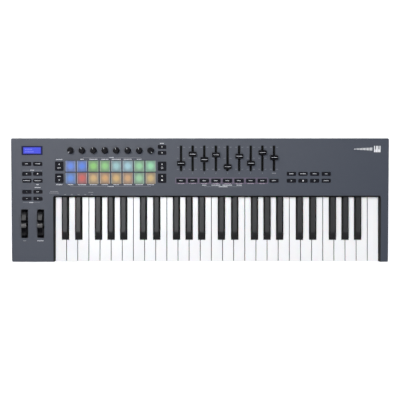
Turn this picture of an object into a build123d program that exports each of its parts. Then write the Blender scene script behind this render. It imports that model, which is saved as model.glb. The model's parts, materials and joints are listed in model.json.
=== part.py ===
from build123d import *
import math
import os

# A 49-key MIDI keyboard controller, one STEP file per sub-part, in millimetres.
# +X is the player's right, +Y is away from the player, +Z is up.
# The origin is the centre of the footprint, on the table.

# ---------------------------------------------------------------- driving sizes
WIDTH = 790.0
DEPTH = 259.0
FRONT_TOP = 52.0  # height of the casing's top face at its front edge
REAR_TOP = 65.0  # and at its rear edge
FOOT_HEIGHT = 3.0
SPLIT = 24.0  # height of the joint line between the two casings
WALL = 2.5
CORNER = 2.0  # rounding of the casing's upright edges
CHEEK_BEVEL = (1.2, 2.6)  # width and drop of the bevels beside the keys
PANEL_BEVEL = (3.2, 4.5)  # and of the bevel along the panel's edge above them
RUNNING = 0.1  # radial clearance of a shaft in its bore

KEY_PITCH = 23.5
KEY_GAP = 1.1
KEYS_LEFT = -305.0  # left edge of the lowest white key's slot
WHITE_KEYS = 29
OCTAVES = 4
KEY_TOP = 40.0
BLACK_TOP = 52.0
PIVOT_Y = 64.0
PIVOT_Z = 30.0
PANEL_FRONT = 6.4  # the panel's edge above the keys, below its bevel

# ---------------------------------------------------------------- derived sizes
HALF_W = WIDTH / 2
HALF_D = DEPTH / 2
SLOPE = (REAR_TOP - FRONT_TOP) / DEPTH
TILT = math.atan(SLOPE)
NORMAL = (0, -math.sin(TILT), math.cos(TILT))
OCTAVE = 7 * KEY_PITCH
KEYS_RIGHT = KEYS_LEFT + WHITE_KEYS * KEY_PITCH
CHEEK_GAP = 1.5
OPENING_LEFT = KEYS_LEFT - CHEEK_GAP
OPENING_RIGHT = KEYS_RIGHT + CHEEK_GAP

# Control panel: depths are measured down from the panel's face, along its normal.
BOARD_TOP = 11.5
BOARD_THICK = 1.6

# Every control has a column x and a row y, in plan.
LEFT_CENTRE = -351.0  # middle of the block left of the keys
LEFT_COLUMNS = [LEFT_CENTRE - 11.6, LEFT_CENTRE + 11.6]
DISPLAY_Y = 104.0
DISPLAY_SIZE = (44.0, 19.0)
PAD_PITCH = (23.9, 25.2)
PAD_CENTRE = (-186.9, 58.6)
PAD_SIZE = (21.4, 22.8)
PAD_COLUMNS = [PAD_CENTRE[0] + (i - 3.5) * PAD_PITCH[0] for i in range(8)]
PAD_ROWS = [PAD_CENTRE[1] + PAD_PITCH[1] / 2, PAD_CENTRE[1] - PAD_PITCH[1] / 2]
PAD_SIDES = [PAD_CENTRE[0] - 4.5 * PAD_PITCH[0], PAD_CENTRE[0] + 4.5 * PAD_PITCH[0]]
KNOB_Y = 104.0
FADER_PITCH = 24.3
FADER_SLOT = (4.2, 54.0)
FADER_CENTRE = (57.6, 87.5)
FADER_COLUMNS = [FADER_CENTRE[0] + (i - 4) * FADER_PITCH for i in range(9)]
FADER_STOPS = [-10.5, 8.8, -2.6, 7.6, -17.4, 4.5, -10.1, 12.0, 1.6]  # rest places of the nine caps
TRANSPORT_COLUMNS = [191.3 + i * FADER_PITCH for i in range(4)]
BUTTON = (18.6, 7.2)
SMALL_BUTTON = (17.0, 7.2)
SQUARE_BUTTON = (17.0, 18.6)
ROW_MENU = 76.0
ROW_UPPER = 55.2
ROW_LOWER = 40.8
ROW_OCTAVE = 17.6
ROW_TRANSPOSE = 3.2
ROWS_BANK = [111.4, 99.0]

BUTTON_GROUPS = {
    "menu_buttons": [(x, ROW_MENU) for x in LEFT_COLUMNS],
    "navigation_buttons": [(x, y) for y in (ROW_UPPER, ROW_LOWER) for x in LEFT_COLUMNS],
    "octave_buttons": [(x, y) for y in (ROW_OCTAVE, ROW_TRANSPOSE) for x in LEFT_COLUMNS],
    "knob_bank_buttons": [(PAD_SIDES[1], y) for y in ROWS_BANK],
    "pad_side_buttons": [(x, y) for y in PAD_ROWS for x in PAD_SIDES],
    "fader_buttons": [(x, ROW_LOWER) for x in FADER_COLUMNS],
    "transport_buttons": [(x, y) for y in (ROW_UPPER, ROW_LOWER) for x in TRANSPORT_COLUMNS],
}
BUTTON_SIZES = {"knob_bank_buttons": SMALL_BUTTON, "pad_side_buttons": SQUARE_BUTTON}

# Wheels, in the left block
WHEEL_COLUMNS = [LEFT_CENTRE - 16.85, LEFT_CENTRE + 16.85]
WHEEL_Y = -49.2
WHEEL_R = 30.0
WHEEL_RISE = 15.0  # how far a wheel stands out of the panel
WHEEL_WIDTH = 10.8
WHEEL_SLOT = (14.7, 60.0)
AXLE_R = 2.5

# Rear sockets
SOCKET_Z = 31.0
JACK_COLUMNS = [-215.0, -240.0, -265.0]
JACK_R = 3.25
MIDI_X = -296.0
MIDI_R = 7.6
MIDI_Z = 33.6
USB_X = -327.0
USB_Z = 30.0
SOCKET_FACE = HALF_D - WALL - 0.3  # sockets stop just behind the rear wall

# Fasteners: x, y of the casing screws and of the key frame's screws
CASE_SCREWS = [(x, 121.5) for x in (-384, -170, 0, 170, 384)]
CASE_SCREWS += [(-384, -119), (-316, -119), (385.8, -119), (385.8, 0)]
FRAME_SCREWS = [(x, y) for x in (-290, -75, 140, 355) for y in (-90, 52)]
BOARD_POSTS = [(-312, 106), (-60, 106), (-60, 30), (172, 106), (172, 27), (282, 100), (282, 27)]
FEET = [(x, y) for x in (-365, 0, 365) for y in (-108, 108)]


# ---------------------------------------------------------------- helpers
def top_z(y):
    """Height of the casing's top face at plan position y."""
    return FRONT_TOP + (y + HALF_D) * SLOPE


def block(x0, x1, y0, y1, z0, z1):
    """A box from its lowest to its highest corner."""
    return Pos((x0 + x1) / 2, (y0 + y1) / 2, (z0 + z1) / 2) * Box(x1 - x0, y1 - y0, z1 - z0)


def pillar(x, y, r, z0, z1):
    """An upright cylinder."""
    return Pos(x, y, (z0 + z1) / 2) * Cylinder(r, z1 - z0)


def bar_x(x0, x1, y, z, r):
    """A cylinder that lies along X."""
    return Pos((x0 + x1) / 2, y, z) * Rot(0, 90, 0) * Cylinder(r, x1 - x0)


def bar_y(x, y0, y1, z, r):
    """A cylinder that lies along Y."""
    return Pos(x, (y0 + y1) / 2, z) * Rot(90, 0, 0) * Cylinder(r, y1 - y0)


def panel(x, y, lift=0.0):
    """A plane parallel to the control panel, lift above its face, at plan position x, y."""
    return Plane(origin=(x, y, top_z(y)), x_dir=(1, 0, 0), z_dir=NORMAL).offset(lift)


def panel_slab(x, y, width, length, radius, low, high):
    """A rounded rectangle standing on the panel, from low to high above its face."""
    return extrude(panel(x, y, low) * RectangleRounded(width, length, radius), high - low)


def panel_round(x, y, r, low, high):
    """A cylinder standing on the panel, from low to high above its face."""
    return extrude(panel(x, y, low) * Circle(r), high - low)


def side_prism(points, x0, x1):
    """A side profile of y, z points, swept from x0 to x1."""
    return extrude(Plane.YZ.offset(x0) * make_face(Polyline(*points, close=True)), x1 - x0)


def button_size(group):
    return BUTTON_SIZES.get(group, BUTTON)


# ---------------------------------------------------------------- casings
def casing_prism(inset, low):
    """The whole casing's outer block, shrunk by inset on its sides and top, from height low up."""
    front, rear = -HALF_D + inset, HALF_D - inset
    points = [(front, low), (front, top_z(front) - inset), (rear, top_z(rear) - inset), (rear, low)]
    return side_prism(points, -HALF_W + inset, HALF_W - inset)


def panel_cutters():
    """Everything that is cut through the control panel."""
    clearance = 0.5
    through = (-WALL - 1, 1)
    cutters = []
    for group, places in BUTTON_GROUPS.items():
        w, h = button_size(group)
        cutters += [panel_slab(x, y, w + 2 * clearance, h + 2 * clearance, 1.8, *through) for x, y in places]
    for y in PAD_ROWS:
        for x in PAD_COLUMNS:
            cutters.append(panel_slab(x, y, PAD_SIZE[0] + 0.9, PAD_SIZE[1] + 0.9, 2.4, *through))
    cutters += [panel_round(x, KNOB_Y, 4.2, *through) for x in PAD_COLUMNS]
    cutters += [panel_slab(x, FADER_CENTRE[1], *FADER_SLOT, 1.7, *through) for x in FADER_COLUMNS]
    cutters += [panel_slab(x, WHEEL_Y, *WHEEL_SLOT, 1.2, *through) for x in WHEEL_COLUMNS]
    width, height = DISPLAY_SIZE
    cutters.append(panel_slab(LEFT_CENTRE, DISPLAY_Y, width + 0.2, height + 0.2, 1.1, -1.6, 1))
    cutters.append(panel_slab(LEFT_CENTRE, DISPLAY_Y, width - 3, height - 3, 0.8, *through))
    return cutters


def rear_cutters():
    """The socket holes in the rear wall."""
    outside, inside = HALF_D + 1, HALF_D - WALL - 1
    cutters = [bar_y(x, inside, outside, SOCKET_Z, 5.5) for x in JACK_COLUMNS]
    cutters.append(bar_y(MIDI_X, inside, outside, MIDI_Z, 8.6))
    cutters.append(block(USB_X - 6.3, USB_X + 6.3, inside, outside, USB_Z - 5.7, USB_Z + 5.7))
    return cutters


def cheek_bevel(x, outward):
    """A wedge along the slope that bevels the top edge of the wall beside the keys, at x."""
    width, drop = CHEEK_BEVEL
    y, over = -HALF_D - 1, 1.0
    z = top_z(y)
    far = x + outward * width * (drop + over) / drop
    triangle = make_face(Polyline((x, z - drop), (x, z + over), (far, z + over), close=True))
    along = (0, math.cos(TILT), math.sin(TILT))
    return extrude(Plane.XZ.offset(-y) * triangle, (PANEL_FRONT - y) / math.cos(TILT), dir=along)


def panel_lip():
    """The strip along the panel's edge above the keys, with its bevel."""
    width, drop = PANEL_BEVEL
    rear = PANEL_FRONT + width
    low = top_z(PANEL_FRONT) - drop - 1
    points = [(PANEL_FRONT, low), (PANEL_FRONT, top_z(PANEL_FRONT) - drop), (rear, top_z(rear))]
    points += [(rear + 1, top_z(rear + 1) - 1), (rear + 1, low)]
    return side_prism(points, OPENING_LEFT - WALL, OPENING_RIGHT + WALL)


def make_top_case():
    shell = casing_prism(0, SPLIT)
    shell = fillet(shell.edges().filter_by(Axis.Z), CORNER)
    shell = fillet(shell.faces().sort_by(Axis.Z)[-1].edges(), CORNER * 0.6)
    shell -= casing_prism(WALL, SPLIT - 1)
    # Posts for the casing screws and the control board
    posts = [pillar(x, y, 4.0, SPLIT - 1.8, top_z(y) - 1) for x, y in CASE_SCREWS]
    posts += [panel_round(x, y, 2.6, -BOARD_TOP, -1) for x, y in BOARD_POSTS]
    shell += posts
    shell -= block(OPENING_LEFT, OPENING_RIGHT, -HALF_D - 1, PANEL_FRONT + PANEL_BEVEL[0], 0, 80)
    # Walls on both sides of the keys, and a lip along the panel's edge above them
    front = -HALF_D + WALL / 2
    rear = PANEL_FRONT + PANEL_BEVEL[0] + 1
    cheek_profile = [(front, SPLIT), (front, top_z(front) - 1), (rear, top_z(rear) - 1), (rear, SPLIT)]
    shell += side_prism(cheek_profile, OPENING_LEFT - WALL, OPENING_LEFT)
    shell += side_prism(cheek_profile, OPENING_RIGHT, OPENING_RIGHT + WALL)
    shell += panel_lip()
    shell -= [cheek_bevel(OPENING_LEFT, -1), cheek_bevel(OPENING_RIGHT, 1)]
    shell -= panel_cutters()
    shell -= rear_cutters()
    shell -= [pillar(x, y, 1.5 + 0.05, SPLIT - 3, 36) for x, y in CASE_SCREWS]
    return shell


def make_bottom_case():
    floor = FOOT_HEIGHT + WALL
    tray = block(-HALF_W, HALF_W, -HALF_D, HALF_D, FOOT_HEIGHT, SPLIT)
    tray = fillet(tray.edges().filter_by(Axis.Z), CORNER)
    tray = fillet(tray.faces().sort_by(Axis.Z)[0].edges(), 1.6)
    tray -= block(-HALF_W + WALL, HALF_W - WALL, -HALF_D + WALL, HALF_D - WALL, floor, SPLIT + 1)
    tray -= block(OPENING_LEFT, OPENING_RIGHT, -HALF_D - 1, -HALF_D + WALL + 1, 12.0, SPLIT + 1)
    tray += [pillar(x, y, 4.5, FOOT_HEIGHT + 1, SPLIT - 2) for x, y in CASE_SCREWS]
    tray += [pillar(x, y, 5.0, floor - 1, floor + 2) for x, y in FRAME_SCREWS]
    tray += [pillar(x, y, 3.0, floor - 1, 22.0) for x, y in io_board_corners()]
    tray -= [pillar(x, y, 3.3, 0, 19.0) for x, y in CASE_SCREWS]
    tray -= [pillar(x, y, 1.8, 18, SPLIT) for x, y in CASE_SCREWS]
    tray -= [pillar(x, y, 1.3, floor - 0.8, floor + 3) for x, y in FRAME_SCREWS]
    # Stiffening ribs across the floor, behind the key frame
    for x in (-100, 60, 220):
        tray += block(x, x + 1.8, 80, HALF_D - WALL, floor, 16)
    return tray


def make_rubber_feet():
    foot = fillet(Cylinder(8.0, FOOT_HEIGHT).edges().sort_by(Axis.Z)[0], 0.6)
    return [Pos(x, y, FOOT_HEIGHT / 2) * foot for x, y in FEET]


def screw(x, y, head_bottom, head_top, tip, points_up):
    """A pan-head screw with a cross recess in its head."""
    shank_start = head_top if points_up else head_bottom
    z0, z1 = sorted((shank_start, tip))
    body = pillar(x, y, 2.9, head_bottom, head_top) + pillar(x, y, 1.5 if points_up else 1.2, z0, z1)
    face = head_bottom if points_up else head_top
    for w, h in ((3.2, 0.7), (0.7, 3.2)):
        body -= block(x - w / 2, x + w / 2, y - h / 2, y + h / 2, face - 1, face + 1)
    return body


def make_screws():
    casing = [screw(x, y, 17.0, 19.0, 34.0, True) for x, y in CASE_SCREWS]
    frame = [screw(x, y, 10.0, 11.8, 6.0, False) for x, y in FRAME_SCREWS]
    return casing + frame


# ---------------------------------------------------------------- keyboard
KEY_BOTTOM = 26.0
KEY_FRONT = -HALF_D + 0.5
BLACK_FRONT = -82.0
BLACK_WIDTH = 13.4
NOTCH_GAP = 0.9
SHOULDER = BLACK_FRONT - 1.5  # where a white key narrows beside a black one
NECK_END = 24.0
SKIN = 1.8
TAIL_WIDTH = 10.6
BLACK_CENTRES = [35.25 - 14.0, 35.25 + 14.0, 117.5 - 26.6, 117.5, 117.5 + 26.6]
WHITE_TAILS = [7.0, 35.25, 63.5, 77.0, 104.2, 130.8, 157.9]
FRAME_TOP = 10.0


def key_tail(x, start):
    """The arm from a key's playing part to its snap-on clip, with a heel behind the pivot."""
    half = TAIL_WIDTH / 2
    tail = block(x - half, x + half, start, PIVOT_Y - 2, PIVOT_Z - 3, 38)
    tail += bar_x(x - half, x + half, PIVOT_Y, PIVOT_Z, 5.0)
    tail += block(x - half, x + half, PIVOT_Y, PIVOT_Y + 9.5, PIVOT_Z - 3, PIVOT_Z + 3)
    tail -= bar_x(x - half - 1, x + half + 1, PIVOT_Y, PIVOT_Z, AXLE_R + RUNNING)
    return tail - block(x - half - 1, x + half + 1, PIVOT_Y - 1.7, PIVOT_Y + 1.7, PIVOT_Z - 8, PIVOT_Z)


def white_outline(note, highest):
    """Plan outline of a white key, its notches cut to clear the black keys beside it."""
    left = note * KEY_PITCH + KEY_GAP / 2
    right = (note + 1) * KEY_PITCH - KEY_GAP / 2
    reach = BLACK_WIDTH / 2 + NOTCH_GAP
    neck_left, neck_right = left, right
    for centre in BLACK_CENTRES:
        if left - reach < centre < left + reach:
            neck_left = centre + reach
        if right - reach < centre < right + reach and not highest:
            neck_right = centre - reach
    points = [(left, KEY_FRONT), (right, KEY_FRONT)]
    if neck_right < right:
        points += [(right, SHOULDER), (neck_right, SHOULDER)]
    points += [(neck_right, NECK_END), (neck_left, NECK_END)]
    if neck_left > left:
        points += [(neck_left, SHOULDER), (left, SHOULDER)]
    return make_face(Polyline(*points, close=True))


def make_white_key(note, highest=False):
    """A hollow white key, open below, with x measured from its octave's left edge."""
    outline = white_outline(note, highest)
    key = extrude(Plane.XY.offset(KEY_BOTTOM) * outline, KEY_TOP - KEY_BOTTOM)
    left, right = note * KEY_PITCH + KEY_GAP / 2, (note + 1) * KEY_PITCH - KEY_GAP / 2
    key += block(left, right, KEY_FRONT, KEY_FRONT + SKIN, KEY_BOTTOM - 3, KEY_BOTTOM + 1)
    front_face = key.faces().sort_by(Axis.Y)[0]
    key = fillet(front_face.edges().filter_by(Axis.Z), 1.0)
    key = fillet(key.faces().sort_by(Axis.Z)[-1].edges(), 0.8)
    hollow = offset(outline, -SKIN, kind=Kind.INTERSECTION)
    key -= extrude(Plane.XY.offset(KEY_BOTTOM - 1) * hollow, KEY_TOP - KEY_BOTTOM - 1.5)
    return key + key_tail(WHITE_TAILS[note], NECK_END - 5)


def make_black_key(centre):
    """A tapered black key with a sloping front, hollow from below."""
    half = BLACK_WIDTH / 2
    top_half = half - 2.0
    profile = [(BLACK_FRONT, KEY_BOTTOM), (BLACK_FRONT, 43), (-70, 51.2), (-66, BLACK_TOP)]
    profile += [(PANEL_FRONT + 5, BLACK_TOP), (NECK_END, 38), (NECK_END, KEY_BOTTOM)]
    key = side_prism(profile, -half, half)
    section = [(-half, KEY_BOTTOM), (half, KEY_BOTTOM), (half, KEY_TOP - 1), (top_half, BLACK_TOP)]
    section += [(-top_half, BLACK_TOP), (-half, KEY_TOP - 1)]
    taper = Plane.XZ.offset(-60) * make_face(Polyline(*section, close=True))
    key &= extrude(taper, 200)
    key = fillet(key.edges().filter_by(lambda e: e.center().Z > KEY_TOP and e.center().Y < PANEL_FRONT), 1.0)
    key -= block(-half + 2, half - 2, BLACK_FRONT + 2.5, NECK_END - 5, KEY_BOTTOM - 1, KEY_TOP)
    key -= block(-top_half + 2, top_half - 2, -64, NECK_END - 12, KEY_TOP - 1, BLACK_TOP - 2.5)
    return Pos(centre, 0, 0) * (key + key_tail(0, NECK_END - 6))


def make_keys():
    """Three sets of keys an octave: C E G B, D F A, and the black keys. The highest C joins the last set."""
    whites = [make_white_key(note) for note in range(7)]
    blacks = [make_black_key(centre) for centre in BLACK_CENTRES]
    sets = {}
    for octave in range(OCTAVES):
        shift = Pos(KEYS_LEFT + octave * OCTAVE, 0, 0)
        name = f"octave_{octave + 1}_keys"
        sets[name + "_c_e_g_b"] = [shift * whites[note] for note in (0, 2, 4, 6)]
        sets[name + "_d_f_a"] = [shift * whites[note] for note in (1, 3, 5)]
        sets[name + "_black"] = [shift * key for key in blacks]
    highest = Pos(KEYS_LEFT + OCTAVES * OCTAVE, 0, 0) * make_white_key(0, highest=True)
    sets[f"octave_{OCTAVES}_keys_c_e_g_b"].append(highest)
    return sets


def tail_centres():
    """The x of every key's tail, from left to right."""
    octave = sorted(WHITE_TAILS + BLACK_CENTRES)
    centres = [KEYS_LEFT + k * OCTAVE + x for k in range(OCTAVES) for x in octave]
    return centres + [KEYS_RIGHT - KEY_PITCH + WHITE_TAILS[0]]


def white_centres():
    return [KEYS_LEFT + (i + 0.5) * KEY_PITCH for i in range(WHITE_KEYS)]


def black_centres():
    return [KEYS_LEFT + k * OCTAVE + x for k in range(OCTAVES) for x in BLACK_CENTRES]


FRAME_LEFT = OPENING_LEFT + 1
FRAME_RIGHT = OPENING_RIGHT - 1
WHITE_FELT = (-108.0, -100.0, 13.6, 16.4)  # y from, y to, z from, z to
BLACK_FELT = (-66.0, -60.0, 15.6, 18.2)
HEEL_FELT = (69.6, 73.2, 24.4, 26.8)
CONTACT_Y = (-25.0, 15.0)
CONTACT_Z = 14.0


def make_key_frame():
    """The plate that carries the keys: pivot bar on ribs, guide posts, and rails for the felts."""
    frame = block(FRAME_LEFT, FRAME_RIGHT, -118, 74, FOOT_HEIGHT + WALL + 2, FRAME_TOP)
    base = FRAME_TOP - 1
    tails = tail_centres()
    ribs = [(a + b) / 2 for a, b in zip(tails, tails[1:])]
    ribs = [tails[0] - 6.35, *ribs, tails[-1] + 6.85]
    frame += [block(x - 0.6, x + 0.6, 57, 66.4, base, PIVOT_Z) for x in ribs]
    frame += bar_x(FRAME_LEFT + 1, FRAME_RIGHT - 1, PIVOT_Y, PIVOT_Z, AXLE_R)
    frame += [block(x - 2, x + 2, -116, -110, base, 27.5) for x in white_centres()]
    frame += [block(x - 1.5, x + 1.5, -76, -70, base, 31.5) for x in black_centres()]
    for y0, y1, z0, _ in (WHITE_FELT, BLACK_FELT, HEEL_FELT):
        frame += block(FRAME_LEFT, FRAME_RIGHT, y0, y1, base, z0)
    frame += block(FRAME_LEFT, FRAME_RIGHT, -118, -116.5, base, 15.5)
    for y in CONTACT_Y:
        frame += block(FRAME_LEFT, FRAME_RIGHT, y - 1, y + 1, base, CONTACT_Z)
    return frame - [pillar(x, y, 1.7, 0, 40) for x, y in FRAME_SCREWS]


def make_key_felts():
    strips = (WHITE_FELT, BLACK_FELT, HEEL_FELT)
    return [block(FRAME_LEFT, FRAME_RIGHT, y0, y1, z0, z1) for y0, y1, z0, z1 in strips]


def make_key_springs():
    """A leaf spring under each key's tail, drawn at its pressed height."""
    line = Polyline((28, FRAME_TOP + 0.3), (40, FRAME_TOP + 0.3), (46, 24.6), (51, 25.2))
    leaf = extrude(Plane.YZ * trace(line, 0.5), 2.5, both=True)
    return [Pos(x, 0, 0) * leaf for x in tail_centres()]


def make_key_contact_board():
    y0, y1 = CONTACT_Y
    return block(FRAME_LEFT, FRAME_RIGHT, y0 - 1, y1 + 1, CONTACT_Z, CONTACT_Z + BOARD_THICK)


def make_key_contact_strips():
    """A rubber strip for each octave, with two domes under each key, at their pressed height."""
    base = CONTACT_Z + BOARD_THICK
    tails = tail_centres()
    strips = []
    for octave in range(OCTAVES):
        own = tails[octave * 12:(octave + 1) * 12]
        if octave == OCTAVES - 1:
            own.append(tails[-1])
        strip = block(own[0] - 6, own[-1] + 6, -20, 4, base, base + 2)
        strip += [pillar(x, y, 3.6, base + 1, 21.2) for x in own for y in (-14, -4)]
        strips.append(strip)
    return strips


# ---------------------------------------------------------------- controls
def moulded_cap(x, y, size, radius, rise, skirt, edge):
    """A rubber button or pad: a rounded block that stands out of the panel, with a skirt below it."""
    w, h = size
    cap = panel_slab(x, y, w, h, radius, -8.5, rise)
    face = cap.faces().sort_by(Axis.Z)[-1]
    cap = fillet(face.edges(), edge)
    return cap + panel_slab(x, y, w + 2 * skirt, h + 2 * skirt, radius + 0.4, -5.4, -WALL - 1.2)


def make_button_groups():
    groups = {}
    for group, places in BUTTON_GROUPS.items():
        size = button_size(group)
        groups[group] = [moulded_cap(x, y, size, 1.6, 1.6, 1.0, 0.5) for x, y in places]
    return groups


def make_pad_rows():
    names = ("pads_upper_row", "pads_lower_row")
    return {
        name: [moulded_cap(x, y, PAD_SIZE, 2.2, 2.4, 0.8, 0.9) for x in PAD_COLUMNS]
        for name, y in zip(names, PAD_ROWS)
    }


KNOB_TURNS = [-145, -16, -14, -18, -14, -16, -14, 145]  # pointer at rest, clockwise from 12 o'clock
KNOB_R = 7.0
KNOB_RISE = 13.3
SHAFT_R = 3.0


def make_knob(x, turn):
    """A fluted cap on its own potentiometer shaft. The pointer groove is turned to its rest place."""
    low = 0.9
    cap = loft([panel(0, 0, low) * Circle(KNOB_R), panel(0, 0, KNOB_RISE) * Circle(KNOB_R - 1.1)])
    cap = fillet(cap.faces().sort_by(Axis.Z)[-1].edges(), 0.8)
    flutes = 18
    for i in range(flutes):
        angle = math.tau * (i + 0.5) / flutes
        groove = Circle(0.75).moved(Location((KNOB_R * math.cos(angle), KNOB_R * math.sin(angle))))
        cap -= extrude(panel(0, 0, low + 2.0) * groove, KNOB_RISE)
    cap -= extrude(panel(0, 0, low) * Circle(SHAFT_R + 0.05), 9)
    cap -= extrude(panel(0, 0, low) * Circle(4.6), 2.6)
    pointer = Pos(0, 4.1) * Rectangle(1.2, 5.2)
    cap -= extrude(panel(0, 0, KNOB_RISE - 0.5) * pointer, 2)
    shaft = extrude(panel(0, 0, -9) * Circle(SHAFT_R), low + 17)
    spin = Axis((0, 0, top_z(0)), NORMAL)
    place = Location((x, KNOB_Y, top_z(KNOB_Y) - top_z(0)))
    return [place * part.rotate(spin, -turn) for part in (cap, shaft)]


def make_rotary_pots():
    """A potentiometer under each knob, and one beside each wheel."""
    pots = []
    for x in PAD_COLUMNS:
        pot = panel_slab(x, KNOB_Y, 11, 12, 0.6, -BOARD_TOP, -5)
        pot += panel_round(x, KNOB_Y, 3.9, -6, -0.6)
        pots.append(pot - panel_round(x, KNOB_Y, SHAFT_R + RUNNING, -9.5, 0))
    length, blind = 7.8, 1.5
    for x, side in zip(WHEEL_COLUMNS, (-1, 1)):
        centre = x + side * (9.2 + length / 2)
        pot = block(-length / 2, length / 2, WHEEL_Y - 7, WHEEL_Y + 7, wheel_z() - 9, wheel_z() + 7)
        pot -= bar_x(-length / 2 - 1, length / 2 - blind, WHEEL_Y, wheel_z(), AXLE_R + RUNNING)
        pots.append(Pos(centre, 0, 0) * (pot if side > 0 else mirror(pot, about=Plane.YZ)))
    return pots


CAP_LOW = 1.4
CAP_HIGH = 11.0


def make_fader(x, y):
    """A fader cap with scooped top, on the lever that reaches down into its slide potentiometer."""
    plane = Plane(origin=(x, y, top_z(y)), x_dir=(0, math.cos(TILT), math.sin(TILT)), z_dir=(1, 0, 0))
    profile = [(-5.2, CAP_LOW), (5.2, CAP_LOW), (4.5, CAP_HIGH), (-4.5, CAP_HIGH)]
    cap = extrude(plane * make_face(Polyline(*profile, close=True)), 8.0, both=True)
    cap = fillet(cap.edges().filter_by(lambda e: e.center().Z > top_z(y) + 3 or e.length > 15.9), 0.7)
    for along in (-3.1, 3.1):
        cap -= extrude(plane * Pos(along, CAP_HIGH + 1.0) * Circle(2.5), 9.0, both=True)
    lever = panel_slab(x, y, 1.8, 4.6, 0.3, -8.6, CAP_LOW)
    return [cap, lever]


def make_slide_pots():
    """Nine slide potentiometers, each with a channel for its lever."""
    middle = FADER_CENTRE[1]
    pots = []
    for x in FADER_COLUMNS:
        pot = panel_slab(x, middle, 9.0, 60.0, 0.6, -BOARD_TOP, -4.0)
        pots.append(pot - panel_slab(x, middle, 2.8, 51.6, 0.4, -9.6, -3.0))
    return pots


def make_control_board():
    """One board under all the panel's controls, with an arm down the left block."""
    top = -BOARD_TOP
    main = panel_slab(-51, 68.5, 672, 95, 1.0, top - BOARD_THICK, top)
    arm = panel_slab(-349.5, 55, 75, 122, 1.0, top - BOARD_THICK, top)
    return main + arm


def make_display_window():
    width, height = DISPLAY_SIZE
    return panel_slab(LEFT_CENTRE, DISPLAY_Y, width, height, 1.0, -1.6, 0.0)


def make_display_module():
    return panel_slab(LEFT_CENTRE, DISPLAY_Y, 54, 23.5, 0.8, -BOARD_TOP, -WALL - 0.2)


# ---------------------------------------------------------------- wheels
def wheel_z():
    """Height of the wheels' axle."""
    return top_z(WHEEL_Y) + WHEEL_RISE - WHEEL_R


def make_wheel(x, side):
    """A wheel, open below, with a finger dent and its own axle, which is longer on its pot's side."""
    z = wheel_z()
    half = WHEEL_WIDTH / 2
    open_below = z - 8  # low enough to stay under the panel as the wheel turns
    wheel = bar_x(-half, half, WHEEL_Y, z, WHEEL_R)
    wheel = fillet(wheel.edges().filter_by(GeomType.CIRCLE), 1.4)
    wheel -= bar_x(-half - 1, -1.5, WHEEL_Y, z, WHEEL_R - 3.5)
    wheel -= bar_x(1.5, half + 1, WHEEL_Y, z, WHEEL_R - 3.5)
    wheel -= block(-20, 20, WHEEL_Y - 40, WHEEL_Y + 40, z - 40, open_below)
    wheel -= bar_x(-20, 20, WHEEL_Y, z + WHEEL_R + 10.6, 14.0)
    wheel += bar_x(-half, half, WHEEL_Y, z, 6.0)
    near, far = half + 2.2, half + 8.0
    ends = (-far, near) if side < 0 else (-near, far)
    wheel += bar_x(*ends, WHEEL_Y, z, AXLE_R)
    return Pos(x, 0, 0) * wheel


def make_wheel_bracket():
    """A cradle with a well for each wheel. Its inner walls carry the axles."""
    z = wheel_z()
    floor = FOOT_HEIGHT + WALL
    outer = WHEEL_WIDTH / 2 + 2.4
    inner = WHEEL_WIDTH / 2 + 0.8
    front, rear = WHEEL_Y - WHEEL_R - 2.6, WHEEL_Y + WHEEL_R + 2.6
    left, right = WHEEL_COLUMNS[0] - outer - 3, WHEEL_COLUMNS[1] + outer + 3
    bracket = block(left, right, front - 4, rear + 4, floor, floor + 2)
    for x in WHEEL_COLUMNS:
        bracket += block(x - outer, x + outer, front, rear, floor + 1, 50.4)
        bracket -= block(x - inner, x + inner, front + 1.6, rear - 1.6, floor + 2, 60)
        bracket -= bar_x(x - 12, x + 12, WHEEL_Y, z, AXLE_R + RUNNING)
    return bracket


# ---------------------------------------------------------------- sockets and wiring
IO_LEFT, IO_RIGHT = -345.0, -184.0
IO_FRONT, IO_REAR = 90.0, HALF_D - WALL - 0.6
IO_Z = 22.0


def io_board_corners():
    xs = (IO_LEFT + 5, IO_RIGHT - 5)
    return [(x, IO_FRONT + 5) for x in xs] + [(x, IO_REAR - 5) for x in xs]


def make_io_board():
    return block(IO_LEFT, IO_RIGHT, IO_FRONT, IO_REAR, IO_Z, IO_Z + BOARD_THICK)


def make_pedal_jacks():
    """Three 6.35 mm jack sockets, open at the rear."""
    low = IO_Z + BOARD_THICK
    jacks = []
    for x in JACK_COLUMNS:
        body = block(x - 7.5, x + 7.5, 100, SOCKET_FACE, low, SOCKET_Z + 7.2)
        jacks.append(body - bar_y(x, 102, SOCKET_FACE + 1, SOCKET_Z, JACK_R))
    return jacks


def make_midi_socket():
    """A five-pin DIN socket: a round recess with five contact holes."""
    body = block(MIDI_X - 10, MIDI_X + 10, 104, SOCKET_FACE, IO_Z + BOARD_THICK, MIDI_Z + 10)
    body -= bar_y(MIDI_X, SOCKET_FACE - 9, SOCKET_FACE + 1, MIDI_Z, MIDI_R)
    for angle in (0, 45, 90, 135, 180):
        x = MIDI_X + 5.0 * math.cos(math.radians(angle))
        z = MIDI_Z + 5.0 * math.sin(math.radians(angle))
        body -= bar_y(x, SOCKET_FACE - 16, SOCKET_FACE, z, 0.8)
    return body


def make_usb_socket():
    """A square USB socket: a metal shell, and the contact tongue inside it."""
    inside = SOCKET_FACE - 13
    shell = block(USB_X - 6, USB_X + 6, inside - 3.5, SOCKET_FACE, IO_Z + BOARD_THICK, USB_Z + 5.6)
    shell -= block(USB_X - 4.3, USB_X + 4.3, inside, SOCKET_FACE + 1, USB_Z - 4.0, USB_Z + 4.0)
    tongue = block(USB_X - 2.8, USB_X + 2.8, inside + 0.05, SOCKET_FACE - 6, USB_Z - 1.6, USB_Z + 1.6)
    return [shell, tongue]


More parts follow.
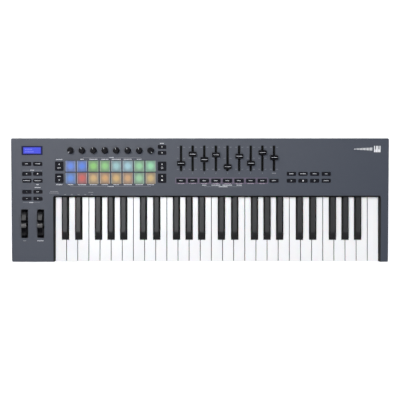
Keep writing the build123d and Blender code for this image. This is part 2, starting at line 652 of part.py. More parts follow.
def make_ribbon_cables():
    """Flat cables from the control board: one to the socket board, one to the key contacts."""
    up = FilletPolyline((98, 23.8), (98, 33), (90, 40), (90, 49.7), radius=4)
    socket_cable = extrude(Plane.YZ.offset(-200) * trace(up, 0.9), 12)
    low = CONTACT_Z + BOARD_THICK + 0.6
    side = FilletPolyline((-303, low), (-322, low), (-331, 26), (-331, 45.4), radius=5)
    contact_cable = extrude(Plane.XZ.offset(-15.5) * trace(side, 0.9), 9)
    return [socket_cable, contact_cable]


# ---------------------------------------------------------------- the assembly
def as_solids(made):
    """A sub-part's separate solids, from one shape or a list of shapes."""
    shapes = made if isinstance(made, list) else [made]
    return [solid for shape in shapes for solid in shape.solids()]


def all_parts():
    parts = {
        "top_case": make_top_case(),
        "bottom_case": make_bottom_case(),
        "rubber_feet": make_rubber_feet(),
        "screws": make_screws(),
        "key_frame": make_key_frame(),
        "key_felts": make_key_felts(),
        "key_springs": make_key_springs(),
        "key_contact_board": make_key_contact_board(),
        "key_contact_strips": make_key_contact_strips(),
        "control_board": make_control_board(),
        "rotary_pots": make_rotary_pots(),
        "slide_pots": make_slide_pots(),
        "display_window": make_display_window(),
        "display_module": make_display_module(),
        "wheel_bracket": make_wheel_bracket(),
        "pitch_wheel": make_wheel(WHEEL_COLUMNS[0], -1),
        "modulation_wheel": make_wheel(WHEEL_COLUMNS[1], 1),
        "io_board": make_io_board(),
        "pedal_jacks": make_pedal_jacks(),
        "midi_socket": make_midi_socket(),
        "usb_socket": make_usb_socket(),
        "ribbon_cables": make_ribbon_cables(),
    }
    parts.update(make_keys())
    parts.update(make_button_groups())
    parts.update(make_pad_rows())
    for number, (x, turn) in enumerate(zip(PAD_COLUMNS, KNOB_TURNS), 1):
        parts[f"knob_{number}"] = make_knob(x, turn)
    for number, (x, along) in enumerate(zip(FADER_COLUMNS, FADER_STOPS), 1):
        parts[f"fader_{number}"] = make_fader(x, FADER_CENTRE[1] + along)
    return parts


def main():
    os.makedirs("parts", exist_ok=True)
    for name, made in all_parts().items():
        solids = as_solids(made)
        shape = solids[0] if len(solids) == 1 else Compound(solids)
        export_step(shape, f"parts/{name}.step")
        print(name, len(solids), "solids", round(sum(s.volume for s in solids)), "mm3")


main()
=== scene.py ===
import json
import math
import bmesh
import bpy
from mathutils import Matrix, Vector


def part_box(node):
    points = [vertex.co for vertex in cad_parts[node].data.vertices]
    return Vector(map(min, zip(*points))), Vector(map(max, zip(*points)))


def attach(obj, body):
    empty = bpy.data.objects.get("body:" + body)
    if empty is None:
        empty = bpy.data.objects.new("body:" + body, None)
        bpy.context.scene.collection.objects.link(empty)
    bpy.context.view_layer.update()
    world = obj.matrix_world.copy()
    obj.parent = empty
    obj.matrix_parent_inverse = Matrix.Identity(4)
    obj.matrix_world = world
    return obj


# The looks of a 49-key MIDI keyboard controller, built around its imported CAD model.
# Metres; +X is the player's right, +Y away from the player, +Z up.

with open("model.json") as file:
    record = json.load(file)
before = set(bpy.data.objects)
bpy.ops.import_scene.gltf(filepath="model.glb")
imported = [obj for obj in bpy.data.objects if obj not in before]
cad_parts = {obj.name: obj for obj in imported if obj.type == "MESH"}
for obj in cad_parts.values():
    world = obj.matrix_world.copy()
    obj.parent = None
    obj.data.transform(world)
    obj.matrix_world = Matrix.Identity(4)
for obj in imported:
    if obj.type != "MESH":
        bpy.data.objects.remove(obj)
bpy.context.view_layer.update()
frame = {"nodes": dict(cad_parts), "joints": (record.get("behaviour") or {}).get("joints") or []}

MM = 0.001
NODES = frame["nodes"]
JOINTS = {joint["name"]: joint for joint in frame["joints"]}

# ------------------------------------------------------------------ the control panel's plane
PANEL_JOINT = JOINTS["knob_1_turn"]  # its axis is the panel's normal, and its point lies on the face
NORMAL = Vector(PANEL_JOINT["axis"]).normalized()
PANEL_POINT = Vector(PANEL_JOINT["pos_m"])
RIGHT = Vector((1, 0, 0))
ALONG = NORMAL.cross(RIGHT)


def panel_place(x, y, lift=0.0):
    """A frame on the panel's face above plan position x, y: X right, Y up the panel, Z out of it."""
    z = PANEL_POINT.z - (y - PANEL_POINT.y) * NORMAL.y / NORMAL.z
    turn = Matrix((RIGHT, ALONG, NORMAL)).transposed().to_4x4()
    return Matrix.Translation(Vector((x, y, z)) + NORMAL * lift) @ turn


def height_over_panel(node):
    """How far a CAD node stands out of the panel."""
    return max((vertex.co - PANEL_POINT).dot(NORMAL) for vertex in NODES[node].data.vertices)


def middle(node):
    low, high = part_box(node)
    return (low + high) / 2


def solids(node):
    """The boxes of a CAD node's separate solids: rear rows first, each from left to right."""
    mesh = NODES[node].data
    number = {}
    ids = [number.setdefault(tuple(round(c, 5) for c in v.co), len(number)) for v in mesh.vertices]
    chief = list(range(len(number)))

    def find(i):
        while chief[i] != i:
            chief[i] = chief[chief[i]]
            i = chief[i]
        return i

    for polygon in mesh.polygons:
        first, *others = [ids[v] for v in polygon.vertices]
        for other in others:
            chief[find(other)] = find(first)
    boxes = {}
    for vertex, i in zip(mesh.vertices, ids):
        low, high = boxes.setdefault(find(i), (vertex.co.copy(), vertex.co.copy()))
        low[:] = [min(a, b) for a, b in zip(low, vertex.co)]
        high[:] = [max(a, b) for a, b in zip(high, vertex.co)]
    row = 8 * MM
    return sorted(boxes.values(), key=lambda box: (-round((box[0] + box[1]).y / 2 / row), box[0].x))


def centres(node):
    return [(low + high) / 2 for low, high in solids(node)]


# ------------------------------------------------------------------ materials
class Shader:
    """A Principled material, with short names for the nodes that feed it."""

    def __init__(self, name):
        self.material = bpy.data.materials.new(name)
        self.material.use_nodes = True
        self.tree = self.material.node_tree
        self.principled = self.tree.nodes["Principled BSDF"]
        self.place = self.node("ShaderNodeTexCoord").outputs["Object"]

    def node(self, kind, **settings):
        made = self.tree.nodes.new(kind)
        for key, value in settings.items():
            setattr(made, key, value)
        return made

    def feed(self, socket, value):
        if isinstance(value, bpy.types.NodeSocket):
            self.tree.links.new(value, socket)
        else:
            socket.default_value = value

    def axes(self, vector):
        """The X, Y and Z of a vector."""
        made = self.node("ShaderNodeSeparateXYZ")
        self.feed(made.inputs[0], vector)
        return made.outputs

    def sideways(self, start, full):
        """How far the surface faces along X: 0 where it is at most start, 1 from full."""
        facing = self.axes(self.node("ShaderNodeNewGeometry").outputs["Normal"])
        return self.spread(self.math("ABSOLUTE", facing[0]), start, full, 0.0, 1.0)

    def set(self, **values):
        """Sets or links Principled sockets, named with underscores for spaces."""
        for key, value in values.items():
            self.feed(self.principled.inputs[key.replace("_", " ")], value)

    def math(self, operation, a, b=0.0, c=0.0):
        made = self.node("ShaderNodeMath", operation=operation)
        for socket, value in zip(made.inputs, (a, b, c)):
            self.feed(socket, value)
        return made.outputs[0]

    def between(self, value, low, high):
        """1 where value lies between low and high, else 0."""
        above = self.math("GREATER_THAN", value, low)
        return self.math("MULTIPLY", above, self.math("LESS_THAN", value, high))

    def spread(self, value, low, high, new_low, new_high):
        made = self.node("ShaderNodeMapRange", interpolation_type="SMOOTHSTEP")
        for socket, number in zip(made.inputs, (value, low, high, new_low, new_high)):
            self.feed(socket, number)
        return made.outputs[0]

    def noise(self, size, detail=2.0, stretch=(1, 1, 1)):
        """Noise whose lumps are about size metres across."""
        mapping = self.node("ShaderNodeMapping")
        self.feed(mapping.inputs["Vector"], self.place)
        mapping.inputs["Scale"].default_value = stretch
        made = self.node("ShaderNodeTexNoise")
        self.feed(made.inputs["Vector"], mapping.outputs[0])
        made.inputs["Scale"].default_value = 1 / size
        made.inputs["Detail"].default_value = detail
        return made.outputs["Fac"]

    def mix(self, factor, low, high):
        made = self.node("ShaderNodeMix", data_type="RGBA")
        self.feed(made.inputs[0], factor)
        self.feed(made.inputs[6], low if isinstance(low, bpy.types.NodeSocket) else (*low, 1))
        self.feed(made.inputs[7], high if isinstance(high, bpy.types.NodeSocket) else (*high, 1))
        return made.outputs[2]

    def bump(self, height, depth, strength=1.0, under=None):
        made = self.node("ShaderNodeBump")
        made.inputs["Strength"].default_value = strength
        made.inputs["Distance"].default_value = depth
        self.feed(made.inputs["Height"], height)
        if under is not None:
            self.feed(made.inputs["Normal"], under)
        return made.outputs["Normal"]


def shade(colour, factor):
    return tuple(channel * factor for channel in colour)


def moulded(name, colour, roughness, grain=0.5 * MM, depth=0.03 * MM, mottle=0.06, specular=0.5):
    """Moulded plastic or rubber: fine surface grain, faint cloudiness, and uneven gloss."""
    s = Shader(name)
    cloud = s.noise(45 * MM, 4)
    s.set(Base_Color=s.mix(cloud, shade(colour, 1 - mottle), shade(colour, 1 + mottle)))
    fine = s.noise(grain, 3)
    s.set(Roughness=s.spread(s.noise(6 * MM, 3), 0.3, 0.7, roughness - 0.05, roughness + 0.05))
    s.set(Normal=s.bump(fine, depth), Specular_IOR_Level=specular)
    return s.material


def metal(name, colour, roughness, stretch=(1, 30, 30)):
    """Metal with fine drawn lines along X."""
    s = Shader(name)
    lines = s.noise(3 * MM, 2, stretch)
    s.set(Base_Color=s.mix(lines, shade(colour, 0.88), colour), Metallic=1.0)
    s.set(Roughness=s.spread(lines, 0.3, 0.7, roughness - 0.08, roughness + 0.08))
    s.set(Normal=s.bump(lines, 0.01 * MM))
    return s.material


def shade_paint_mask(s, left, right, rear):
    """1 on the steep faces and bevels round the key opening, else 0: where painted shade goes."""
    bevel = 3.6 * MM
    flattest = 0.97  # a face whose normal's Z is at least this gets no painted shade
    at = s.axes(s.place)
    facing = s.axes(s.node("ShaderNodeNewGeometry").outputs["Normal"])
    steep = s.math("LESS_THAN", facing[2], flattest)
    beside = s.between(at[0], left - bevel, right + bevel)
    before = s.math("LESS_THAN", at[1], rear + bevel)
    return s.math("MULTIPLY", steep, s.math("MULTIPLY", beside, before))


def casing_plastic(name, colour, key_opening=None):
    """The casing's spark-eroded finish: two sizes of grain on a satin plastic.

    The bevels and walls round the key opening, (left, right, rear), are painted black as painted shade, and
    made fully rough.
    """
    s = Shader(name)
    cloud = s.noise(120 * MM, 5)
    speck = s.noise(0.7 * MM, 2)
    base = s.mix(cloud, shade(colour, 0.95), shade(colour, 1.05))
    skin = s.mix(s.spread(speck, 0.35, 0.65, 0.0, 0.35), base, shade(colour, 1.18))
    rough = s.spread(s.noise(9 * MM, 4), 0.3, 0.7, 0.49, 0.53)
    if key_opening:
        # painted shade: the steep faces round the key opening turn near black
        shade_paint = shade_paint_mask(s, *key_opening)
        skin = s.mix(shade_paint, skin, (0.0015, 0.0015, 0.002))
        rough = s.math("MAXIMUM", rough, s.math("MULTIPLY", shade_paint, 0.97))
    s.set(Base_Color=skin, Roughness=rough)
    coarse = s.bump(s.noise(1.1 * MM, 2), 0.05 * MM, 0.7)
    s.set(Normal=s.bump(s.noise(0.35 * MM, 2), 0.03 * MM, 0.8, coarse), Specular_IOR_Level=0.7)
    return s.material


def white_key_plastic():
    """Polished white plastic, a little translucent, with faint long flow lines from moulding.

    The sides that face the next key are painted grey: painted shade in the gaps between keys.
    """
    s = Shader("white_key_plastic")
    flow = s.noise(30 * MM, 3, (1, 0.15, 1))
    skin = s.mix(flow, (0.88, 0.885, 0.895), (0.92, 0.92, 0.93))
    # painted shade: the sides facing the next key turn grey
    s.set(Base_Color=s.mix(s.sideways(0.6, 0.9), skin, (0.4, 0.4, 0.41)))
    s.set(Roughness=s.spread(s.noise(12 * MM, 4), 0.3, 0.7, 0.16, 0.24))
    s.set(Normal=s.bump(s.noise(25 * MM, 2, (1, 0.3, 1)), 0.05 * MM, 0.4))
    s.set(Coat_Weight=0.35, Coat_Roughness=0.06, Subsurface_Weight=0.08, Subsurface_Scale=2 * MM)
    return s.material


def black_key_plastic():
    """Satin black plastic with fine streaks along the key. Its flanks are matt and carry painted shade,
    darker than its top.
    """
    s = Shader("black_key_plastic")
    streak = s.noise(1.2 * MM, 3, (1, 0.08, 1))
    # painted shade: the key's flanks turn near black
    shaded_flank = s.sideways(0.3, 0.8)
    top = s.mix(streak, (0.013, 0.013, 0.014), (0.022, 0.022, 0.024))
    s.set(Base_Color=s.mix(shaded_flank, top, (0.002, 0.002, 0.002)))
    worn = s.spread(s.noise(8 * MM, 4), 0.3, 0.7, 0.36, 0.44)
    s.set(Roughness=s.math("MAXIMUM", worn, s.math("MULTIPLY", shaded_flank, 0.95)))
    s.set(Normal=s.bump(streak, 0.02 * MM, 0.8))
    return s.material


def felt():
    s = Shader("felt")
    fibre = s.noise(0.6 * MM, 6, (1, 3, 1))
    s.set(Base_Color=s.mix(fibre, (0.16, 0.01, 0.015), (0.34, 0.03, 0.04)), Roughness=0.95)
    s.set(Normal=s.bump(fibre, 0.3 * MM), Sheen_Weight=0.5, Sheen_Roughness=0.5)
    return s.material


def circuit_board():
    """Dark solder mask over fibreglass, with faint tracks."""
    s = Shader("circuit_board")
    tracks = s.node("ShaderNodeTexBrick")
    s.feed(tracks.inputs["Vector"], s.place)
    tracks.inputs["Scale"].default_value = 40.0
    tracks.inputs["Mortar Size"].default_value = 0.03
    tracks.inputs["Color1"].default_value = (0.004, 0.03, 0.014, 1)
    tracks.inputs["Color2"].default_value = (0.005, 0.038, 0.018, 1)
    tracks.inputs["Mortar"].default_value = (0.02, 0.09, 0.04, 1)
    s.set(Base_Color=tracks.outputs["Color"], Roughness=0.3, Coat_Weight=0.5)
    s.set(Normal=s.bump(s.noise(0.3 * MM, 2), 0.02 * MM))
    return s.material


def lit_pads(node, colours):
    """Frosted rubber pads over lamps: each pad has its own colour, bright inside and pale at its rim."""
    row = centres(node)
    pitch = (row[-1].x - row[0].x) / (len(row) - 1)
    low, high = solids(node)[0]
    s = Shader("lit_" + node)
    at = s.axes(s.place)
    along = s.math("DIVIDE", s.math("SUBTRACT", at[0], row[0].x - pitch / 2), pitch)
    ramp = s.node("ShaderNodeValToRGB")
    ramp.color_ramp.interpolation = "CONSTANT"
    while len(ramp.color_ramp.elements) < len(colours):
        ramp.color_ramp.elements.new(1.0)
    for i, colour in enumerate(colours):
        ramp.color_ramp.elements[i].position = i / len(colours)
        ramp.color_ramp.elements[i].color = (*colour, 1)
    s.feed(ramp.inputs[0], s.math("DIVIDE", along, float(len(colours))))
    hue = ramp.outputs[0]
    across = s.math("ABSOLUTE", s.math("SUBTRACT", s.math("FRACT", along), 0.5))
    depth = s.math("ABSOLUTE", s.math("DIVIDE", s.math("SUBTRACT", at[1], row[0].y), high.y - low.y))
    radius = s.math("SQRT", s.math("ADD", s.math("POWER", across, 2.0), s.math("POWER", depth, 2.0)))
    frost = s.noise(2.4 * MM, 4, (2.4, 0.5, 1))
    glow = s.math("MULTIPLY", s.spread(radius, 0.08, 0.5, 1.0, 0.25), s.spread(frost, 0.3, 0.7, 0.85, 1.0))
    rim = s.math("MULTIPLY", s.between(across, 0.385, 0.43), s.math("LESS_THAN", depth, 0.46))
    dull = s.mix(0.5, hue, (0.24, 0.26, 0.3))
    face = s.mix(s.math("MULTIPLY", rim, 0.5), s.mix(glow, dull, hue), (0.7, 0.74, 0.78))
    s.set(Base_Color=s.mix(0.35, face, (0, 0, 0)), Emission_Color=face)
    s.set(Emission_Strength=s.spread(glow, 0.2, 1.0, 0.05, 0.5))
    s.set(Roughness=0.42, Subsurface_Weight=0.2, Subsurface_Scale=3 * MM)
    s.set(Normal=s.bump(s.noise(0.5 * MM, 3), 0.04 * MM))
    return s.material


def display_glass():
    """The display's window: a dark printed border, and blue dot-matrix glow behind the clear part."""
    centre = middle("display_window")
    lit_half_width, lit_half_height, bar_half = 18.2 * MM, 6.4 * MM, 1.2 * MM
    dot, block = 0.62 * MM, 3.1 * MM
    s = Shader("display_glass")
    at = s.axes(s.place)
    x = s.math("SUBTRACT", at[0], centre.x)
    y = s.math("SUBTRACT", at[1], centre.y)

    def repeated(value, pitch, gap):
        """1 on each cell of this pitch, and 0 on the share of it that is the gap."""
        return s.math("GREATER_THAN", s.math("FRACT", s.math("DIVIDE", value, pitch)), gap)

    def bar_line(line_y, start, stop):
        rows = s.between(y, line_y - bar_half, line_y + bar_half)
        return s.math("MULTIPLY", rows, s.between(x, start, stop))

    inside_x = s.between(x, -lit_half_width, lit_half_width)
    lit = s.math("MULTIPLY", inside_x, s.between(y, -lit_half_height, lit_half_height))
    dots = s.math("MULTIPLY", repeated(x, dot, 0.16), repeated(y, dot, 0.16))
    blocks = s.math("MULTIPLY", repeated(x, block, 0.25), dots)
    lines = s.math("MAXIMUM", bar_line(2.3 * MM, -5 * block, 0.0), bar_line(-2.6 * MM, -5 * block, block))
    lit_lines = s.math("MULTIPLY", lines, blocks)
    glow = s.mix(s.noise(14 * MM, 2), (0.05, 0.06, 0.74), (0.08, 0.1, 0.86))
    glow = s.mix(s.math("MULTIPLY", dots, 0.25), (0.05, 0.06, 0.66), glow)
    glow = s.mix(s.math("MULTIPLY", lit_lines, 0.4), glow, (0.45, 0.5, 1.0))
    s.set(Base_Color=s.mix(lit, (0.008, 0.009, 0.04), (0.03, 0.04, 0.2)))
    s.set(Emission_Color=glow, Emission_Strength=s.math("ADD", s.math("MULTIPLY", lit, 0.82), 0.03))
    s.set(Roughness=0.5, Specular_IOR_Level=0.12)
    s.set(Normal=s.bump(s.noise(20 * MM, 2), 0.02 * MM, 0.3))
    return s.material


def printing_ink(name, colour, roughness=0.45):
    """Screen-printed ink, slightly uneven."""
    s = Shader(name)
    s.set(Base_Color=s.mix(s.noise(0.8 * MM, 3), shade(colour, 0.86), colour), Roughness=roughness)
    s.set(Normal=s.bump(s.noise(0.25 * MM, 2), 0.01 * MM))
    return s.material


def paper_floor():
    s = Shader("paper_floor")
    s.set(Base_Color=s.mix(s.noise(60 * MM, 3), (0.93, 0.93, 0.935), (0.95, 0.95, 0.955)), Roughness=0.7)
    s.set(Normal=s.bump(s.noise(1.5 * MM, 3), 0.02 * MM))
    s.set(Emission_Color=(0.97, 0.985, 1.0, 1), Emission_Strength=0.6)
    return s.material


INK = printing_ink("ink_light", (0.7, 0.72, 0.77))
INK_WHITE = printing_ink("ink_white", (0.85, 0.86, 0.88))
INK_FAINT = printing_ink("ink_faint", (0.26, 0.27, 0.3))
INK_ROSE = printing_ink("ink_rose", (0.72, 0.56, 0.72))
INK_PLUM = printing_ink("ink_plum", (0.16, 0.095, 0.18))
# near-black paint for the painted shade beside the fader slots
SLOT_SHADE_PAINT = printing_ink("ink_black", (0.004, 0.004, 0.006), 0.6)

PAD_COLOURS = {
    "pads_upper_row": [
        (0.07, 0.18, 0.62), (0.05, 0.17, 0.62), (0.20, 0.48, 0.11), (0.21, 0.49, 0.16),
        (0.25, 0.45, 0.46), (0.28, 0.48, 0.54), (0.22, 0.50, 0.26), (0.24, 0.56, 0.32),
    ],
    "pads_lower_row": [
        (0.07, 0.20, 0.58), (0.48, 0.07, 0.05), (0.50, 0.32, 0.12), (0.50, 0.28, 0.10),
        (0.50, 0.32, 0.11), (0.48, 0.28, 0.12), (0.25, 0.48, 0.26), (0.48, 0.33, 0.12),
    ],
}


def key_opening():
    """The casing's opening for the keys: the x of its two side walls, and the y of the panel's edge."""
    low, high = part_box("key_contact_board")
    clearance = 1 * MM  # between the board under the keys and the side walls
    left, right = low.x - clearance, high.x + clearance
    mesh = NODES["top_case"].data
    ends = [[mesh.vertices[i].co for i in edge.vertices] for edge in mesh.edges]
    across = [a.y for a, b in ends if abs(a.x - b.x) > 0.8 * (right - left)]
    return left, right, min(across)


def finish_nodes():
    """Gives every CAD node its material."""
    board = circuit_board()
    frame_black = moulded("frame_black", (0.02, 0.02, 0.021), 0.55)
    socket_black = moulded("socket_black", (0.012, 0.012, 0.013), 0.4)
    pot_black = moulded("pot_black", (0.003, 0.003, 0.003), 0.6, specular=0.2)
    bright_steel = metal("bright_steel", (0.62, 0.62, 0.64), 0.3)
    looks = {
        "top_case": casing_plastic("casing_upper", (0.032, 0.040, 0.061), key_opening()),
        "bottom_case": casing_plastic("casing_lower", (0.022, 0.023, 0.026)),
        "rubber_feet": moulded("foot_rubber", (0.018, 0.018, 0.018), 0.8, 0.4 * MM, 0.08 * MM),
        "screws": metal("screw_steel", (0.45, 0.45, 0.46), 0.35),
        "key_frame": frame_black,
        "key_felts": felt(),
        "key_springs": bright_steel,
        "key_contact_board": board,
        "key_contact_strips": moulded("contact_rubber", (0.25, 0.25, 0.27), 0.7),
        "control_board": board,
        "rotary_pots": pot_black,
        "slide_pots": pot_black,
        "display_window": display_glass(),
        "display_module": frame_black,
        "wheel_bracket": frame_black,
        "io_board": board,
        "pedal_jacks": socket_black,
        "midi_socket": socket_black,
        "usb_socket": bright_steel,
        "ribbon_cables": moulded("ribbon_grey", (0.35, 0.35, 0.37), 0.6),
    }
    wheel_rubber = moulded("wheel_rubber", (0.001, 0.001, 0.002), 0.34, 0.4 * MM, 0.05 * MM, specular=0.45)
    button_rubber = moulded("button_rubber", (0.006, 0.0065, 0.011), 0.6, 0.4 * MM, 0.03 * MM, specular=0.15)
    knob_black = moulded("knob_black", (0.002, 0.002, 0.004), 0.45, 0.3 * MM, 0.02 * MM, specular=0.12)
    fader_black = moulded("fader_black", (0.002, 0.002, 0.004), 0.45, 0.3 * MM, 0.02 * MM, specular=0.15)
    white_key, black_key = white_key_plastic(), black_key_plastic()
    for name in NODES:
        if name in looks:
            continue
        if name in PAD_COLOURS:
            looks[name] = lit_pads(name, PAD_COLOURS[name])
        elif name.startswith("octave_") and "_keys_" in name:
            looks[name] = black_key if name.endswith("black") else white_key
        elif name.endswith("_wheel"):
            looks[name] = wheel_rubber
        elif name.startswith("knob_") and name[-1].isdigit():
            looks[name] = knob_black
        elif name.startswith("fader_") and name[-1].isdigit():
            looks[name] = fader_black
        else:
            looks[name] = button_rubber
    for name, look in looks.items():
        NODES[name].data.materials.clear()
        NODES[name].data.materials.append(look)


# ------------------------------------------------------------------ printed marks
INK_THICKNESS = 0.08 * MM
ROUND_STEPS = 20
KNOB_SWEEP = 145  # degrees each way from straight up


class Print:
    """Thin raised marks of one ink, gathered into one piece that rides on one body."""

    def __init__(self, name, body, ink, slot):
        self.name, self.body, self.ink, self.slot = name, body, ink, slot
        self.bm = bmesh.new()

    def outline(self, place, points):
        """A filled outline of x, y points on the plane at place."""
        low = [self.bm.verts.new(place @ Vector((x, y, 0))) for x, y in points]
        high = [self.bm.verts.new(place @ Vector((x, y, INK_THICKNESS))) for x, y in points]
        self.bm.faces.new(high)
        self.bm.faces.new(low[::-1])
        for i in range(len(points)):
            j = (i + 1) % len(points)
            self.bm.faces.new((low[i], low[j], high[j], high[i]))

    def bar(self, place, x, y, width, height):
        """A bar with rounded corners, centred on x, y."""
        radius = min(width, height) * 0.3
        points = []
        for corner, (sx, sy) in enumerate(((1, 1), (-1, 1), (-1, -1), (1, -1))):
            for step in range(4):
                angle = math.radians(90 * corner + 30 * step)
                points.append((
                    x + sx * (width / 2 - radius) + radius * math.cos(angle),
                    y + sy * (height / 2 - radius) + radius * math.sin(angle),
                ))
        self.outline(place, points)

    def disc(self, place, x, y, radius):
        angles = [math.tau * i / ROUND_STEPS for i in range(ROUND_STEPS)]
        self.outline(place, [(x + radius * math.cos(a), y + radius * math.sin(a)) for a in angles])

    def ring(self, place, x, y, radius, line):
        """A circle drawn with a line of this width."""
        for i in range(ROUND_STEPS):
            a, b = math.tau * i / ROUND_STEPS, math.tau * (i + 1) / ROUND_STEPS
            corners = ((radius, a), (radius, b), (radius - line, b), (radius - line, a))
            self.outline(place, [(x + r * math.cos(t), y + r * math.sin(t)) for r, t in corners])

    def triangle(self, place, x, y, size, point_angle):
        """An arrowhead that points along point_angle, in degrees from X."""
        angles = [math.radians(point_angle + turn) for turn in (0, 130, 230)]
        self.outline(place, [(x + size * math.cos(a), y + size * math.sin(a)) for a in angles])

    def words(self, place, x, y, width, height, seed=0):
        """A caption that says nothing: a row of small blocks of uneven width."""
        cursor, i = x - width / 2, seed
        while cursor < x + width / 2 - height * 0.4:
            block = height * (0.55 + 0.35 * ((i * 7) % 5) / 4)
            block = min(block, x + width / 2 - cursor)
            self.bar(place, cursor + block / 2, y, block, height)
            cursor += block + height * (0.22 if (i + 1) % 4 else 0.5)
            i += 1

    def number(self, place, x, y, digit, height):
        """A plain digit, centred on x, y."""
        curve = bpy.data.curves.new("digit", "FONT")
        curve.body, curve.size = str(digit), height * 1.4
        curve.align_x, curve.align_y = "CENTER", "CENTER"
        curve.extrude = INK_THICKNESS / 2
        text = bpy.data.objects.new("digit", curve)
        mesh = bpy.data.meshes.new_from_object(text)
        mesh.transform(place @ Matrix.Translation((x, y, INK_THICKNESS / 2)))
        self.bm.from_mesh(mesh)
        bpy.data.objects.remove(text)
        bpy.data.meshes.remove(mesh)

    def finish(self):
        bmesh.ops.recalc_face_normals(self.bm, faces=self.bm.faces)
        mesh = bpy.data.meshes.new(self.name)
        self.bm.to_mesh(mesh)
        self.bm.free()
        mesh.materials.append(self.ink)
        piece = bpy.data.objects.new(self.name, mesh)
        bpy.context.scene.collection.objects.link(piece)
        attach(piece, self.body)


CAPTION = 1.7 * MM  # height of a small printed caption
LINE = 0.45 * MM
TICK = (4.2 * MM, 0.5 * MM)
CASING_SLOT = "casing_upper"
MARK_LIFT = 0.01 * MM


def bracket(marks, faint, y, left, right, label, drop):
    """A faint line that gathers a field of controls, with a caption in its middle and turned-in ends."""
    middle_x, half = (left + right) / 2, label / 2 + 1.5 * MM
    place = panel_place(middle_x, y, MARK_LIFT)
    reach = (right - left) / 2
    for side in (-1, 1):
        faint.bar(place, side * (reach + half) / 2, 0, reach - half, LINE)
        faint.bar(place, side * reach, drop / 2, LINE, abs(drop))
    marks.words(place, 0, 0, label, CAPTION, seed=3)


def print_pads(marks, faint):
    """Captions above and below the pads."""
    upper, lower = centres("pads_upper_row"), centres("pads_lower_row")
    pitch = upper[1].x - upper[0].x
    above = upper[0].y + 14.2 * MM
    below = lower[0].y - 13.6 * MM
    for i, width in zip(range(1, 7), (7, 17, 15, 19, 17, 10)):
        marks.words(panel_place(upper[i].x, above, MARK_LIFT), 0, 0, width * MM, CAPTION, seed=i)
    for i, pad in enumerate(lower):
        width = (12 + 5 * ((i * 3) % 4) / 3) * MM
        marks.words(panel_place(pad.x, below, MARK_LIFT), 0, 0, width, CAPTION, seed=i)
    start, end = upper[1].x + pitch * 0.1, upper[6].x + pitch * 0.1
    bracket(marks, faint, above + 3.6 * MM, start, end, 11 * MM, -1.2 * MM)
    bracket(marks, faint, below - 3.8 * MM, lower[0].x, lower[7].x, 13 * MM, 1.2 * MM)
    side_x = min(place.x for place in centres("pad_side_buttons"))
    for y in (upper[0].y + 13.8 * MM, lower[0].y - 13.6 * MM):
        marks.words(panel_place(side_x, y, MARK_LIFT), 0, 0, 13 * MM, CAPTION, seed=5)
    for bank in centres("knob_bank_buttons")[:1]:
        marks.words(panel_place(bank.x, bank.y + 7.2 * MM, MARK_LIFT), 0, 0, 9 * MM, CAPTION, seed=2)


def print_frame(marks, low, high, gap, line):
    """Four thin bars around a button, on the casing."""
    place = panel_place((low.x + high.x) / 2, (low.y + high.y) / 2, MARK_LIFT)
    across, along = (high.x - low.x) / 2 + gap, (high.y - low.y) / 2 + gap
    for side in (-1, 1):
        marks.bar(place, side * across, 0, line, 2 * along + line)
        marks.bar(place, 0, side * along, 2 * across - line, line)


def print_fader_trim():
    """Black bands of painted shade along the fader slots, which widen their dark look, and plum frames and
    rose captions at all but the last button.
    """
    slot_half, border, slot_length = 2.15 * MM, 0.6 * MM, 54.6 * MM
    # painted shade: black bands beside each slot widen its dark look
    black = Print("fader_slot_painted_shade", "casing", SLOT_SHADE_PAINT, CASING_SLOT)
    plum = Print("fader_button_frames", "casing", INK_PLUM, CASING_SLOT)
    rose = Print("fader_button_captions", "casing", INK_ROSE, CASING_SLOT)
    for low, high in solids("slide_pots"):
        place = panel_place((low.x + high.x) / 2, (low.y + high.y) / 2, MARK_LIFT)
        for side in (-1, 1):
            black.bar(place, side * (slot_half + border / 2), 0, border, slot_length)
    for i, (low, high) in enumerate(solids("fader_buttons")[:-1]):
        print_frame(plum, low, high, 1.0 * MM, 0.9 * MM)
        place = panel_place((low.x + high.x) / 2, (low.y + high.y) / 2 - 6.0 * MM, MARK_LIFT)
        rose.words(place, 0, 0, 13.5 * MM, CAPTION * 0.75, seed=i)
    for marks in (black, plum, rose):
        marks.finish()


def print_faders(marks, faint):
    """Ticks and numbers beside the faders, and the lower captions and bracket under their buttons."""
    slots = solids("slide_pots")
    buttons = centres("fader_buttons")
    for i, ((low, high), button) in enumerate(zip(slots, buttons)):
        x, y = (low.x + high.x) / 2, (low.y + high.y) / 2
        place = panel_place(x, y, MARK_LIFT)
        for along in (-23, 0, 23):
            for side in (-1, 1):
                faint.bar(place, side * 6.4 * MM, along * MM, *TICK)
        under = panel_place(x, button.y + 15.4 * MM, MARK_LIFT)
        if i < 8:
            faint.number(under, 0, 0, i + 1, 2.4 * MM)
        else:
            faint.words(under, 0, 0, 9 * MM, CAPTION)
    for i, width in zip((2, 3, 4, 5), (8, 19, 21, 11)):
        place = panel_place(buttons[i].x, buttons[i].y - 9.4 * MM, MARK_LIFT)
        marks.words(place, 0, 0, width * MM, CAPTION, seed=i)
    bracket(marks, faint, buttons[0].y - 12.7 * MM, buttons[2].x, buttons[5].x + 6 * MM, 19 * MM, 1.0 * MM)


